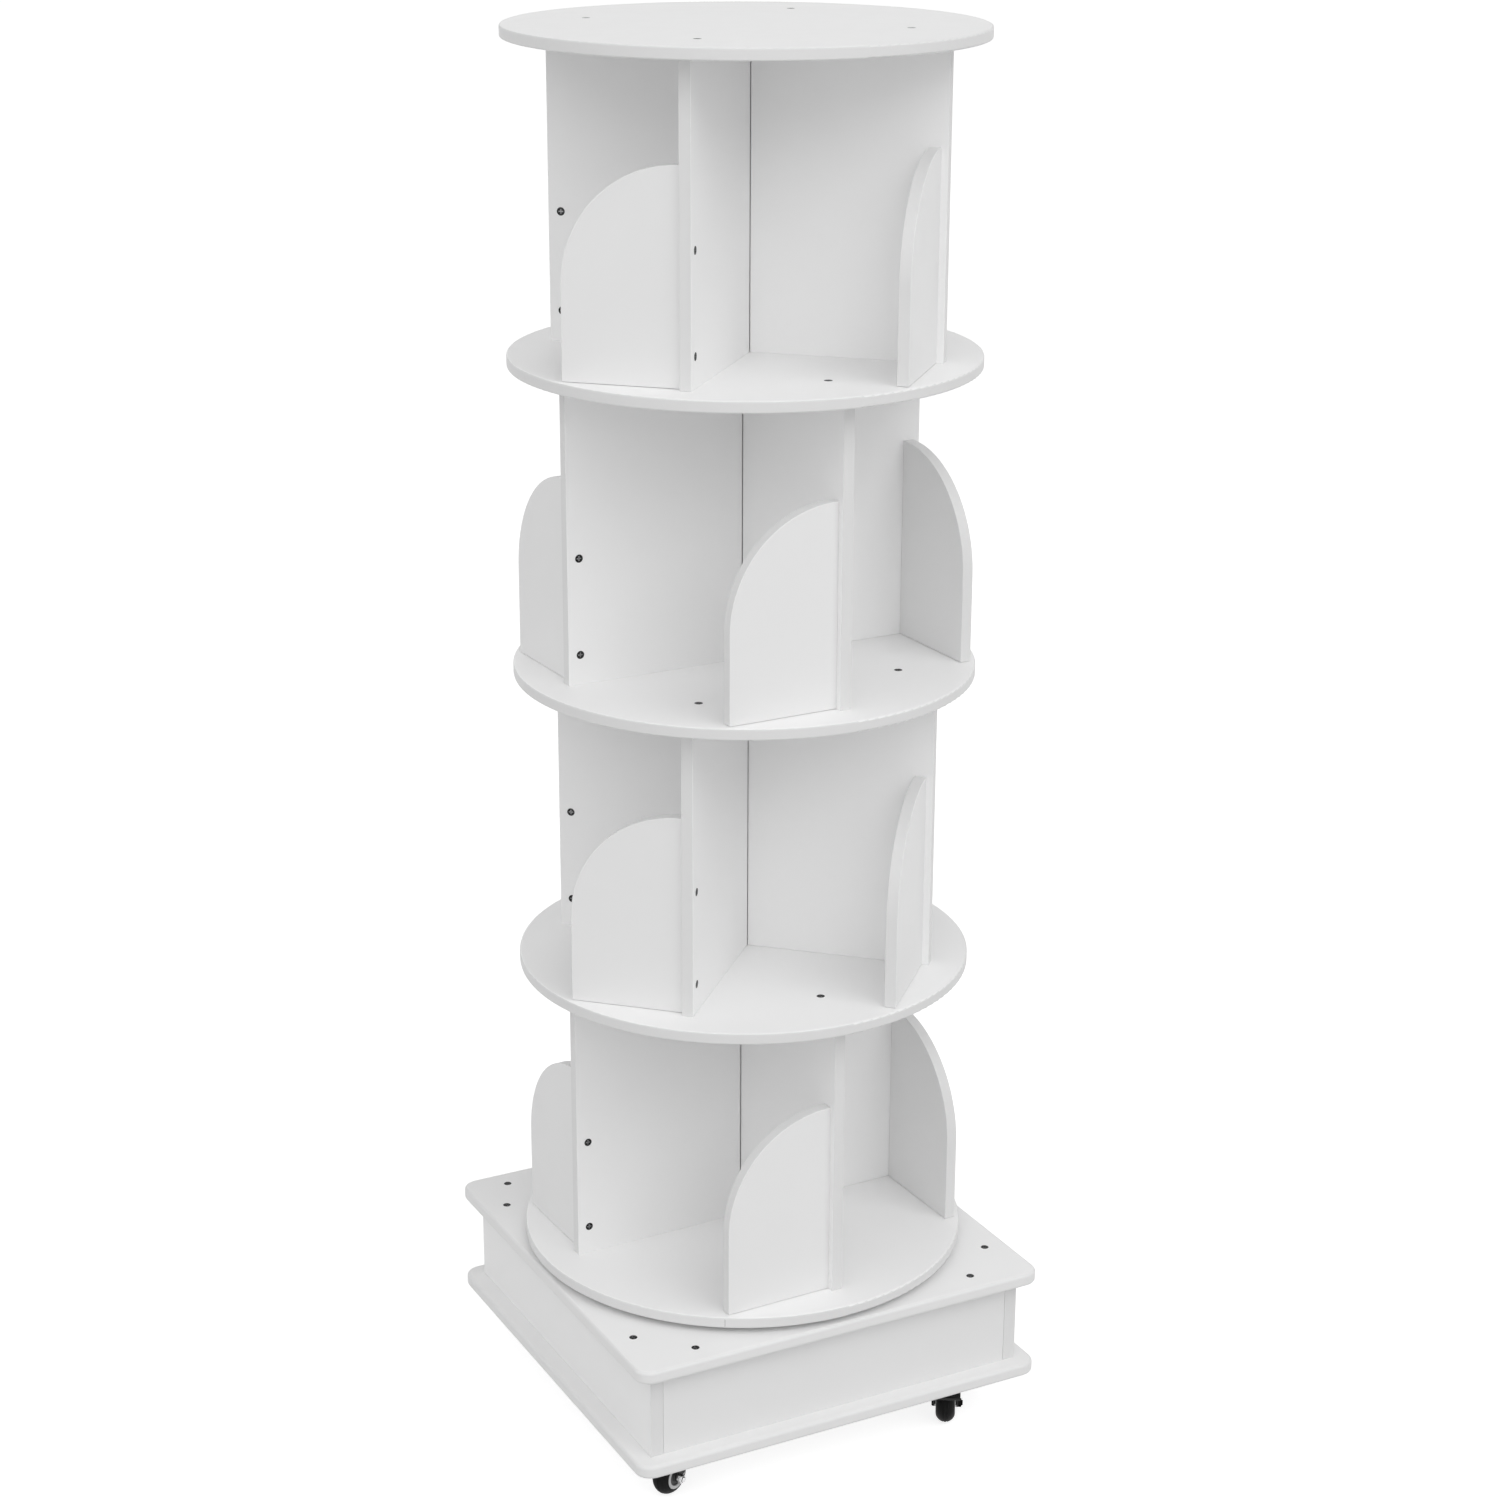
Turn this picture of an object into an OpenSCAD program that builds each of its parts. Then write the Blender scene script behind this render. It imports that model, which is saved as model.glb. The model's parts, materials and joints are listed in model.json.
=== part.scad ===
// Revolving bookcase: a four-tier carousel on a square base with casters.
// Millimetres, +Z up. The origin is on the spin axis at floor level, and the front faces -Y.

/* [Discs] */
// Diameter of every disc
disc_d = 400; // [380:1:440]
// Thickness of every disc
disc_t = 10; // [9:0.5:14]
// Rounding of the disc rims
disc_edge_r = 1.5; // [0.5:0.1:3]

/* [Tiers] */
// Clear height between two discs
tier_h = 258; // [230:1:300]
// Turn of each tier against the one below, in degrees
tier_twist = 45; // [35:1:55]
// Turn of the whole carousel at rest, in degrees
carousel_turn = 1.5; // [-10:0.5:10]

/* [Panels] */
// Thickness of an upright panel
panel_t = 10; // [9:0.5:14]
// Distance from the axis to the outer end of a panel
panel_reach = 171; // [160:1:185]
// Gap that is left between neighbouring panels at the axis
panel_gap = 0.3; // [0.2:0.1:2]

/* [Book stops] */
// Width of a book stop, from the face of its panel
stop_w = 100; // [80:1:110]
// Height of a book stop
stop_h = 175; // [150:1:220]
// Radius of the arched corner of a book stop
stop_r = 98; // [40:1:100]
// Thickness of a book stop
stop_t = 10; // [9:0.5:14]
// Set-back of a stop's outer face from the end of its panel
stop_setback = 6; // [2:0.5:15]
// Gap between a book stop and the disc under it
stop_foot_gap = 0.3; // [0.1:0.1:0.8]
// Height of the lower stop screw above the shelf
stop_screw_low = 26; // [20:1:50]
// Height of the upper stop screw above the shelf
stop_screw_high = 109.5; // [80:0.5:130]

/* [Base] */
// Side of the square top and bottom boards
base_w = 400; // [380:1:440]
// Radius of the corners of the top and bottom boards
base_corner_r = 15; // [5:1:30]
// Thickness of all the base boards
base_board_t = 12; // [10:0.5:18]
// Height of the side boards
base_side_h = 80; // [70:1:120]
// Distance from the axis to the outer faces of the side boards
base_side_reach = 184; // [170:1:188]
// Gap between the short side boards and the long ones
base_joint_gap = 0.2; // [0.1:0.1:0.8]
// Distance of the base screws from the ends of their side
base_screw_inset = 46; // [34:1:84]
// The same distance along the back side
back_screw_inset = 24; // [24:1:84]
// Length of a base screw
base_screw_l = 40; // [30:1:45]

/* [Turntable] */
// Gap between base and bottom disc, which the turntable fills
turntable_h = 6; // [6:0.5:10]
// Side of the two turntable plates
turntable_w = 150; // [140:1:180]
// Thickness of the turntable plates
turntable_plate_t = 1.2; // [1:0.1:1.4]
// Diameter of a ball
ball_d = 3; // [2.5:0.1:3.2]
// Number of balls
ball_count = 24; // [12:1:36]
// Radius of the ring of balls
ball_ring_r = 52; // [45:1:56]
// Play of a ball in its groove
ball_play = 0.1; // [0.05:0.01:0.2]
// Distance of the turntable screws from the axis, along X and along Y
turntable_screw_at = 62; // [60:1:66]

/* [Casters] */
// Distance of the caster pivots from the axis, along X
caster_x = 134.5; // [120:0.5:150]
// Distance of the caster pivots from the axis, along Y
caster_y = 148; // [120:1:155]
// Heading of the casters: front left, front right, back left, back right
caster_heading = [-155, -122, 20, 150]; // [-180:1:180]
// Diameter of a wheel
wheel_d = 36; // [32:0.5:44]
// Width of a tyre
wheel_w = 18; // [16:0.5:22]
// Distance from the pivot to the axle
caster_trail = 21; // [19:0.5:28]
// Side of a mounting plate
caster_plate_w = 42; // [40:1:50]
// Diameter of the hub that carries the tyre
hub_d = 22.5; // [19:0.5:23]
// Diameter of an axle
axle_d = 5; // [4:0.1:6]
// Length of a brake pedal's foot plate
pedal_l = 12; // [8:0.5:16]

/* [Fasteners] */
// Length of the screws that hold panels and stops
wood_screw_l = 35; // [28:1:40]
// Diameter of a wood screw
screw_d = 4; // [3:0.1:4.5]
// Diameter of a wood screw's head
screw_head_d = 7; // [6:0.1:8]
// Length of a turntable or caster screw under its head
plate_screw_l = 9; // [7:0.5:10]
// Distance of the panel screws from the axis
panel_screw_at = 137; // [120:1:140]
// Diameter of a dowel
dowel_d = 6; // [5:0.1:7]
// Length of a dowel
dowel_l = 20; // [16:1:30]
// Depth of a dowel in its disc
dowel_in_disc = 6; // [4:0.5:7]
// Distance of the dowels from the axis
dowel_at = 60; // [40:1:90]

/* [Hidden] */
$fn = 96;
tier_count = 4;
panel_count = 4;
overcut = 1;

// Fasteners
screw_sink = 0.1;
screw_head_h = (screw_head_d - screw_d) / 2;
screw_tip_l = 5;
screw_tip_d = 1.2;
screw_drive_d = 4.2;
screw_drive_w = 1.1;
screw_drive_depth = 0.9;
screw_play = 0.1;
plate_screw_d = 3.5;
plate_screw_head_d = 7;
plate_screw_head_h = 1.4;
dowel_play = 0.05;

// Casters, from the floor up
axle_z = wheel_d / 2;
wheel_headroom = 3;
crown_t = 2.2;
swivel_gap = 0.3;
swivel_cup_h = 2.5;
swivel_cup_d = 30;
caster_plate_t = 2;
crown_z = wheel_d + wheel_headroom;
swivel_cup_z = crown_z + crown_t + swivel_gap;
caster_plate_z = swivel_cup_z + swivel_cup_h;
caster_h = caster_plate_z + caster_plate_t;
caster_plate_r = 6;
caster_screw_at = caster_plate_w / 2 - 5;
caster_names = ["front_left", "front_right", "back_left", "back_right"];
caster_sides = [[-1, -1], [1, -1], [-1, 1], [1, 1]];
braked_casters = [1, 2];

// Caster wheels and forks
king_pin_d = 6;
king_pin_head_d = 11;
king_pin_head_h = 1.5;
pin_play = 0.05;
tyre_side_flat = 0.5;
tyre_round_r = min(7, (wheel_d - hub_d) / 2 - tyre_side_flat);
hub_proud = 0.4;
hub_side_gap = 0.3;
hub_rim_w = 2;
hub_boss_r = axle_d / 2 + 2;
hub_dish = 2.2;
leg_t = 1.8;
leg_in = wheel_w / 2 + hub_proud + hub_side_gap;
leg_out = leg_in + leg_t;
crown_d = 28;
crown_back = 9;
crown_front = 15;
axle_boss_r = 4.2;
bolt_head_d = 8;
bolt_head_h = 2.2;
nut_h = 4.5;
bolt_end = 1.2;

// Brake pedals
trunnion_d = 4;
pedal_side_gap = 0.4;
pedal_ear_t = 1.5;
pedal_ear_in = leg_out + pedal_side_gap;
pedal_ear_out = pedal_ear_in + pedal_ear_t;
pedal_ear_r = 3.8;
pedal_plate_t = 2.5;
pedal_pivot_x = caster_trail - 7;
pedal_pivot_z = crown_z - 5;
pedal_plate_x = caster_trail + wheel_d / 2 - 2.5;
pedal_plate_z = crown_z - 3;
pedal_rib_d = 1.6;
pedal_rib_count = 3;

// Base, from the caster plates up
base_side_z = caster_h + base_board_t;
base_top_z = base_side_z + base_side_h + base_board_t;
base_side_mid = base_side_reach - base_board_t / 2;
base_short_l = 2 * (base_side_reach - base_board_t - base_joint_gap);
base_screw_at = base_side_reach - base_screw_inset;
back_screw_at = base_side_reach - back_screw_inset;
base_screw_spots = concat(
  [for (x = [-1, 1], y = [-1, 1]) [x * base_side_mid, y * base_screw_at]],
  [for (x = [-1, 1]) [x * base_screw_at, -base_side_mid]],
  [for (x = [-1, 1]) [x * back_screw_at, base_side_mid]]
);

// Turntable, from the base top up
turntable_mid = turntable_h / 2;
turntable_corner_r = 10;
race_gap = 1.2;
race_half_w = 4;
race_h = turntable_mid - race_gap / 2 - turntable_plate_t;
hub_tube_r = 20;
hub_flange_r = 26;
hub_head_gap = 0.8;
dish_gap = 0.6;
dish_side_gap = 1;
dish_tube_r = 30;
hub_flange_top = turntable_h - hub_head_gap;
dish_top = hub_flange_top - turntable_plate_t - dish_gap;
dish_bottom = dish_top - turntable_plate_t;

// Carousel, from the turntable up
disc_z = base_top_z + turntable_h;
tier_pitch = tier_h + disc_t;
panel_inner = panel_t / 2 + panel_gap;
stop_outer = panel_reach - stop_setback;
stop_mid = stop_outer - stop_t / 2;
stop_top_flat = 2;
stop_arch_r = min(stop_r, stop_w - stop_top_flat);
disc_names = ["bottom_disc", "lower_shelf_disc", "middle_shelf_disc", "upper_shelf_disc", "top_disc"];

function tier_floor(tier) = disc_z + disc_t + (tier - 1) * tier_pitch;
function panel_angle(tier, slot) = carousel_turn + (tier - 1) * tier_twist + (slot - 1) * 360 / panel_count;
function panel_name(tier, slot) = str("tier_", tier, "_panel_", slot);
function stops_name(tier) = str("tier_", tier, "_book_stops");
function caster_node(i, piece) = str(caster_names[i], "_caster_", piece);

// Shared shapes

module rounded_square(w, r) {
  square([w, w - 2 * r], center = true);
  square([w - 2 * r, w], center = true);
  for (x = [-1, 1], y = [-1, 1])
    translate([x * (w / 2 - r), y * (w / 2 - r)])
      circle(r);
}

// Cross recess of a screw, from z = 0 down
module screw_drive() {
  for (turn = [0, 90])
    rotate(turn)
      translate([-screw_drive_d / 2, -screw_drive_w / 2, -screw_drive_depth])
        cube([screw_drive_d, screw_drive_w, screw_drive_depth + overcut]);
}

// Countersunk screw that points down, its head just under z = 0
module wood_screw(l) {
  difference() {
    rotate_extrude()
      polygon([
        [0, -screw_sink],
        [screw_head_d / 2, -screw_sink],
        [screw_d / 2, -screw_sink - screw_head_h],
        [screw_d / 2, screw_tip_l - l],
        [screw_tip_d / 2, -l],
        [0, -l]
      ]);
    translate([0, 0, -screw_sink])
      screw_drive();
  }
}

module wood_screw_hole(l) {
  head_r = screw_head_d / 2 + screw_play;
  shank_r = screw_d / 2 + screw_play;
  rotate_extrude()
    polygon([
      [0, overcut],
      [head_r, overcut],
      [head_r, -screw_sink],
      [shank_r, -screw_sink - screw_head_h],
      [shank_r, -l - screw_play],
      [0, -l - screw_play]
    ]);
}

// Low-headed screw that points down, its head standing on z = 0
module plate_screw() {
  difference() {
    union() {
      cylinder(d = plate_screw_head_d, h = plate_screw_head_h);
      translate([0, 0, -plate_screw_l])
        cylinder(d = plate_screw_d, h = plate_screw_l + plate_screw_head_h / 2);
    }
    translate([0, 0, plate_screw_head_h])
      screw_drive();
  }
}

module plate_screw_hole() {
  translate([0, 0, -plate_screw_l - screw_play])
    cylinder(d = plate_screw_d + 2 * screw_play, h = plate_screw_l + overcut);
}

// Places on the carousel

module at_panel(tier, slot) {
  translate([0, 0, tier_floor(tier)])
    rotate(panel_angle(tier, slot))
      children();
}

module at_tier_panels(tier) {
  for (slot = [1:panel_count])
    at_panel(tier, slot)
      children();
}

module at_stop_screws() {
  for (z = [stop_screw_low, stop_screw_high])
    translate([stop_mid, panel_t / 2, z])
      rotate([-90, 0, 0])
        children();
}

module at_top_screw() {
  translate([panel_screw_at, 0, tier_h + disc_t])
    children();
}

module at_foot_screw() {
  translate([panel_screw_at, 0, -disc_t])
    rotate([180, 0, 0])
      children();
}

module top_dowel(play) {
  translate([dowel_at, 0, tier_h + dowel_in_disc - dowel_l - play])
    cylinder(d = dowel_d + 2 * play, h = dowel_l + 2 * play);
}

module foot_dowel(play) {
  translate([dowel_at, 0, -dowel_in_disc - play])
    cylinder(d = dowel_d + 2 * play, h = dowel_l + 2 * play);
}

module top_fixing_holes() {
  at_top_screw()
    wood_screw_hole(wood_screw_l);
  top_dowel(dowel_play);
}

module foot_fixing_holes() {
  at_foot_screw()
    wood_screw_hole(wood_screw_l);
  foot_dowel(dowel_play);
}

// Carousel

module disc_profile() {
  square([disc_d / 2 - disc_edge_r, disc_t]);
  translate([0, disc_edge_r])
    square([disc_d / 2, disc_t - 2 * disc_edge_r]);
  for (z = [disc_edge_r, disc_t - disc_edge_r])
    translate([disc_d / 2 - disc_edge_r, z])
      circle(disc_edge_r);
}

// Level 0 is the bottom disc; a disc is the roof of the tier with its own number
module carousel_disc(level) {
  color("whitesmoke")
    difference() {
      translate([0, 0, disc_z + level * tier_pitch])
        rotate_extrude()
          disc_profile();
      if (level > 0)
        at_tier_panels(level)
          top_fixing_holes();
      if (level < tier_count)
        at_tier_panels(level + 1)
          foot_fixing_holes();
      if (level == 0)
        at_turntable_upper_screws()
          plate_screw_hole();
    }
}

module tier_panel(tier, slot) {
  color("white")
    at_panel(tier, slot)
      difference() {
        translate([panel_inner, -panel_t / 2, 0])
          cube([panel_reach - panel_inner, panel_t, tier_h]);
        at_stop_screws()
          wood_screw_hole(wood_screw_l);
        top_fixing_holes();
        foot_fixing_holes();
      }
}

module stop_outline() {
  difference() {
    square([stop_w, stop_h]);
    translate([stop_w - stop_arch_r, stop_h - stop_arch_r])
      difference() {
        square(stop_arch_r + overcut);
        circle(stop_arch_r);
      }
  }
}

module book_stops(tier) {
  color("white")
    at_tier_panels(tier)
      difference() {
        translate([stop_outer, -panel_t / 2, stop_foot_gap])
          rotate([90, 0, -90])
            linear_extrude(stop_t)
              stop_outline();
        at_stop_screws()
          wood_screw_hole(wood_screw_l);
      }
}

module stop_screws() {
  color("dimgray")
    for (tier = [1:tier_count])
      at_tier_panels(tier)
        at_stop_screws()
          wood_screw(wood_screw_l);
}

module panel_screws() {
  color("dimgray")
    for (tier = [1:tier_count])
      at_tier_panels(tier) {
        at_top_screw()
          wood_screw(wood_screw_l);
        at_foot_screw()
          wood_screw(wood_screw_l);
      }
}

module panel_dowels() {
  color("burlywood")
    for (tier = [1:tier_count])
      at_tier_panels(tier) {
        top_dowel(0);
        foot_dowel(0);
      }
}

// Turntable

module at_turntable_lower_screws() {
  for (x = [-1, 1], y = [-1, 1])
    translate([x * turntable_screw_at, y * turntable_screw_at, base_top_z + turntable_plate_t])
      children();
}

module at_turntable_upper_screws() {
  rotate(carousel_turn)
    for (x = [-1, 1], y = [-1, 1])
      translate([x * turntable_screw_at, y * turntable_screw_at, disc_z - turntable_plate_t])
        rotate([180, 0, 0])
          children();
}

module ball_groove() {
  rotate_extrude()
    translate([ball_ring_r, turntable_mid])
      circle(ball_d / 2 + ball_play);
}

// Flat plate with its race, flat side on z = 0
module race_plate(opening_r) {
  difference() {
    linear_extrude(turntable_plate_t)
      rounded_square(turntable_w, turntable_corner_r);
    translate([0, 0, -overcut])
      cylinder(r = opening_r, h = turntable_plate_t + 2 * overcut);
  }
  rotate_extrude()
    translate([ball_ring_r - race_half_w, turntable_plate_t / 2])
      square([2 * race_half_w, race_h + turntable_plate_t / 2]);
}

// The rolled hub hooks over the dish of the upper plate, so the carousel lifts with its base
module turntable_lower_plate() {
  inner_r = hub_tube_r - turntable_plate_t;
  color("silver")
    difference() {
      translate([0, 0, base_top_z])
        difference() {
          union() {
            race_plate(inner_r);
            rotate_extrude() {
              translate([inner_r, 0])
                square([turntable_plate_t, hub_flange_top]);
              translate([inner_r, hub_flange_top - turntable_plate_t])
                square([hub_flange_r - inner_r, turntable_plate_t]);
            }
          }
          ball_groove();
        }
      at_turntable_lower_screws()
        plate_screw_hole();
    }
}

module turntable_upper_plate() {
  dish_inner = hub_tube_r + dish_side_gap;
  color("silver")
    difference() {
      translate([0, 0, base_top_z])
        rotate(carousel_turn)
          difference() {
            union() {
              translate([0, 0, turntable_h])
                mirror([0, 0, 1])
                  race_plate(dish_tube_r);
              rotate_extrude() {
                translate([dish_tube_r, dish_bottom])
                  square([turntable_plate_t, turntable_h - dish_bottom]);
                translate([dish_inner, dish_bottom])
                  square([dish_tube_r - dish_inner + turntable_plate_t, turntable_plate_t]);
              }
            }
            ball_groove();
          }
      at_turntable_upper_screws()
        plate_screw_hole();
    }
}

module turntable_balls() {
  color("lightgray")
    for (i = [0:ball_count - 1])
      rotate(i * 360 / ball_count)
        translate([ball_ring_r, 0, base_top_z + turntable_mid])
          sphere(d = ball_d, $fn = 32);
}

module turntable_lower_screws() {
  color("dimgray")
    at_turntable_lower_screws()
      plate_screw();
}

module turntable_upper_screws() {
  color("dimgray")
    at_turntable_upper_screws()
      plate_screw();
}

// Base

module at_base_top_screws() {
  for (spot = base_screw_spots)
    translate([spot.x, spot.y, base_top_z])
      children();
}

module at_base_bottom_screws() {
  for (spot = base_screw_spots)
    translate([spot.x, spot.y, caster_h])
      rotate([180, 0, 0])
        children();
}

module base_board(z) {
  translate([0, 0, z])
    linear_extrude(base_board_t)
      rounded_square(base_w, base_corner_r);
}

module base_top_board() {
  color("whitesmoke")
    difference() {
      base_board(base_top_z - base_board_t);
      at_base_top_screws()
        wood_screw_hole(base_screw_l);
      at_turntable_lower_screws()
        plate_screw_hole();
    }
}

module base_bottom_board() {
  color("whitesmoke")
    difference() {
      base_board(caster_h);
      at_base_bottom_screws()
        wood_screw_hole(base_screw_l);
      at_caster_screws()
        plate_screw_hole();
    }
}

module side_board_blank(l) {
  translate([-l / 2, -base_board_t / 2, base_side_z])
    cube([l, base_board_t, base_side_h]);
}

module base_screw_holes() {
  at_base_top_screws()
    wood_screw_hole(base_screw_l);
  at_base_bottom_screws()
    wood_screw_hole(base_screw_l);
}

// Full-length board on the left (side = -1) or the right (side = 1)
module base_long_board(side) {
  color("white")
    difference() {
      translate([side * base_side_mid, 0, 0])
        rotate(90)
          side_board_blank(2 * base_side_reach);
      base_screw_holes();
    }
}

// Board between the long ones, at the front (side = -1) or the back (side = 1)
module base_short_board(side) {
  color("white")
    difference() {
      translate([0, side * base_side_mid, 0])
        side_board_blank(base_short_l);
      base_screw_holes();
    }
}

module base_screws() {
  color("dimgray") {
    at_base_top_screws()
      wood_screw(base_screw_l);
    at_base_bottom_screws()
      wood_screw(base_screw_l);
  }
}

// Casters: along the local X axis a wheel trails its pivot

module at_caster_pivot(i) {
  translate([caster_sides[i].x * caster_x, caster_sides[i].y * caster_y, 0])
    children();
}

module at_caster(i) {
  at_caster_pivot(i)
    rotate(caster_heading[i])
      children();
}

module at_axle() {
  translate([caster_trail, 0, axle_z])
    rotate([90, 0, 0])
      children();
}

module at_caster_screws() {
  for (i = [0:3])
    at_caster_pivot(i)
      for (x = [-1, 1], y = [-1, 1])
        translate([x * caster_screw_at, y * caster_screw_at, caster_plate_z])
          rotate([180, 0, 0])
            children();
}

// Flat upright outline in the local X-Z plane, as thick as t, from y outwards
module upright(y, t) {
  translate([0, y + t, 0])
    rotate([90, 0, 0])
      linear_extrude(t)
        children();
}

module caster_plates() {
  pin_head_z = crown_z - swivel_gap - king_pin_head_h;
  color("dimgray")
    difference() {
      for (i = [0:3])
        at_caster_pivot(i) {
          translate([0, 0, caster_plate_z])
            linear_extrude(caster_plate_t)
              rounded_square(caster_plate_w, caster_plate_r);
          translate([0, 0, swivel_cup_z])
            cylinder(d = swivel_cup_d, h = swivel_cup_h + caster_plate_t / 2);
          translate([0, 0, pin_head_z])
            cylinder(d = king_pin_d, h = caster_plate_z - pin_head_z);
          translate([0, 0, pin_head_z])
            cylinder(d = king_pin_head_d, h = king_pin_head_h);
        }
      at_caster_screws()
        plate_screw_hole();
    }
}

module caster_screws() {
  color("dimgray")
    at_caster_screws()
      plate_screw();
}

module leg_outline() {
  polygon([
    [-crown_back, crown_z + crown_t],
    [crown_front, crown_z + crown_t],
    [caster_trail + axle_boss_r, axle_z + axle_boss_r / 2],
    [caster_trail + axle_boss_r, axle_z],
    [caster_trail - axle_boss_r, axle_z],
    [-crown_back, crown_z - 2 * crown_t]
  ]);
  translate([caster_trail, axle_z])
    circle(axle_boss_r);
}

module caster_fork(i) {
  braked = len([for (b = braked_casters) if (b == i) b]) > 0;
  color("black")
    at_caster(i)
      difference() {
        union() {
          translate([0, 0, crown_z])
            cylinder(d = crown_d, h = crown_t);
          translate([-crown_back, -leg_out, crown_z])
            cube([crown_back + crown_front, 2 * leg_out, crown_t]);
          upright(leg_in, leg_t)
            leg_outline();
          upright(-leg_out, leg_t)
            leg_outline();
        }
        translate([0, 0, crown_z - overcut])
          cylinder(d = king_pin_d + 2 * pin_play, h = crown_t + 2 * overcut);
        at_axle()
          cylinder(d = axle_d + 2 * pin_play, h = 2 * leg_out + 2 * overcut, center = true);
        if (braked)
          translate([pedal_pivot_x, 0, pedal_pivot_z])
            rotate([90, 0, 0])
              cylinder(d = trunnion_d + 2 * pin_play, h = 2 * leg_out + 2 * overcut, center = true);
      }
}

module tyre_profile() {
  r = wheel_d / 2;
  round_x = r - tyre_round_r;
  round_y = wheel_w / 2 - tyre_round_r;
  translate([hub_d / 2, -wheel_w / 2])
    square([round_x - hub_d / 2, wheel_w]);
  translate([hub_d / 2, -round_y])
    square([r - hub_d / 2, 2 * round_y]);
  intersection() {
    translate([hub_d / 2, -wheel_w / 2])
      square([r - hub_d / 2, wheel_w]);
    for (side = [-1, 1])
      translate([round_x, side * round_y])
        circle(tyre_round_r);
  }
}

module caster_tyre(i) {
  color("black")
    at_caster(i)
      at_axle()
        rotate_extrude()
          tyre_profile();
}

// Boss on the axle, web and rim, as a half section
module hub_profile() {
  bore_r = axle_d / 2 + pin_play;
  boss_w = wheel_w + 2 * hub_proud;
  web_w = boss_w - 2 * hub_dish;
  rim_r = hub_d / 2 - hub_rim_w;
  translate([bore_r, -boss_w / 2])
    square([hub_boss_r - bore_r, boss_w]);
  translate([bore_r, -web_w / 2])
    square([hub_d / 2 - bore_r, web_w]);
  translate([rim_r, -wheel_w / 2])
    square([hub_rim_w, wheel_w]);
}

module caster_hub(i) {
  color("gray")
    at_caster(i)
      at_axle()
        rotate_extrude()
          hub_profile();
}

// Bolt with its nut on the local +Y side, and its head on the other side
module caster_axle(i) {
  color("silver")
    at_caster(i)
      at_axle()
        rotate([180, 0, 0]) {
          translate([0, 0, -leg_out - bolt_head_h])
            cylinder(d = bolt_head_d, h = bolt_head_h, $fn = 6);
          translate([0, 0, -leg_out - bolt_head_h / 2])
            cylinder(d = axle_d, h = 2 * leg_out + bolt_head_h / 2 + nut_h + bolt_end);
          difference() {
            translate([0, 0, leg_out])
              cylinder(d = bolt_head_d, h = nut_h, $fn = 6);
            translate([0, 0, leg_out - overcut])
              cylinder(d = axle_d + 2 * pin_play, h = nut_h + 2 * overcut);
          }
        }
}

module pedal_ear_outline() {
  polygon([
    [pedal_pivot_x, pedal_pivot_z + pedal_ear_r],
    [pedal_plate_x + pedal_l / 2, pedal_plate_z + pedal_plate_t],
    [pedal_plate_x + pedal_l / 2, pedal_plate_z],
    [pedal_pivot_x, pedal_pivot_z - pedal_ear_r]
  ]);
  translate([pedal_pivot_x, pedal_pivot_z])
    circle(pedal_ear_r);
}

module caster_brake_pedal(i) {
  trunnion_l = pedal_ear_out - leg_in;
  color("black")
    at_caster(i) {
      translate([pedal_plate_x, -pedal_ear_out, pedal_plate_z])
        cube([pedal_l, 2 * pedal_ear_out, pedal_plate_t]);
      upright(pedal_ear_in, pedal_ear_t)
        pedal_ear_outline();
      upright(-pedal_ear_out, pedal_ear_t)
        pedal_ear_outline();
      for (side = [-1, 1])
        translate([pedal_pivot_x, side * (leg_in + trunnion_l / 2), pedal_pivot_z])
          rotate([90, 0, 0])
            cylinder(d = trunnion_d, h = trunnion_l, center = true);
      for (rib = [1:pedal_rib_count])
        translate([pedal_plate_x + rib * pedal_l / (pedal_rib_count + 1), 0, pedal_plate_z + pedal_plate_t])
          rotate([90, 0, 0])
            cylinder(d = pedal_rib_d, h = 2 * (pedal_ear_out - pedal_rib_d), center = true);
    }
}

base_bottom_board();
base_top_board();
base_long_board(-1);  // base_left_board
base_long_board(1);  // base_right_board
base_short_board(-1);  // base_front_board
base_short_board(1);  // base_back_board
base_screws();
turntable_lower_plate();
turntable_upper_plate();
turntable_balls();
turntable_lower_screws();
turntable_upper_screws();
for (level = [0:tier_count])
  carousel_disc(level);
for (tier = [1:tier_count], slot = [1:panel_count])
  tier_panel(tier, slot);
for (tier = [1:tier_count])
  book_stops(tier);
stop_screws();
panel_screws();
panel_dowels();
caster_plates();
caster_screws();
for (i = [0:3]) {
  caster_fork(i);
  caster_tyre(i);
  caster_hub(i);
  caster_axle(i);
}
for (i = braked_casters)
  caster_brake_pedal(i);
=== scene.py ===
"""Looks of the revolving bookcase, laid out as an add-on: each operator finishes one group of pieces."""

import json
import math

import bmesh
import bpy
from bpy.props import FloatProperty, FloatVectorProperty, IntProperty, PointerProperty
from mathutils import Matrix, Vector


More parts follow.
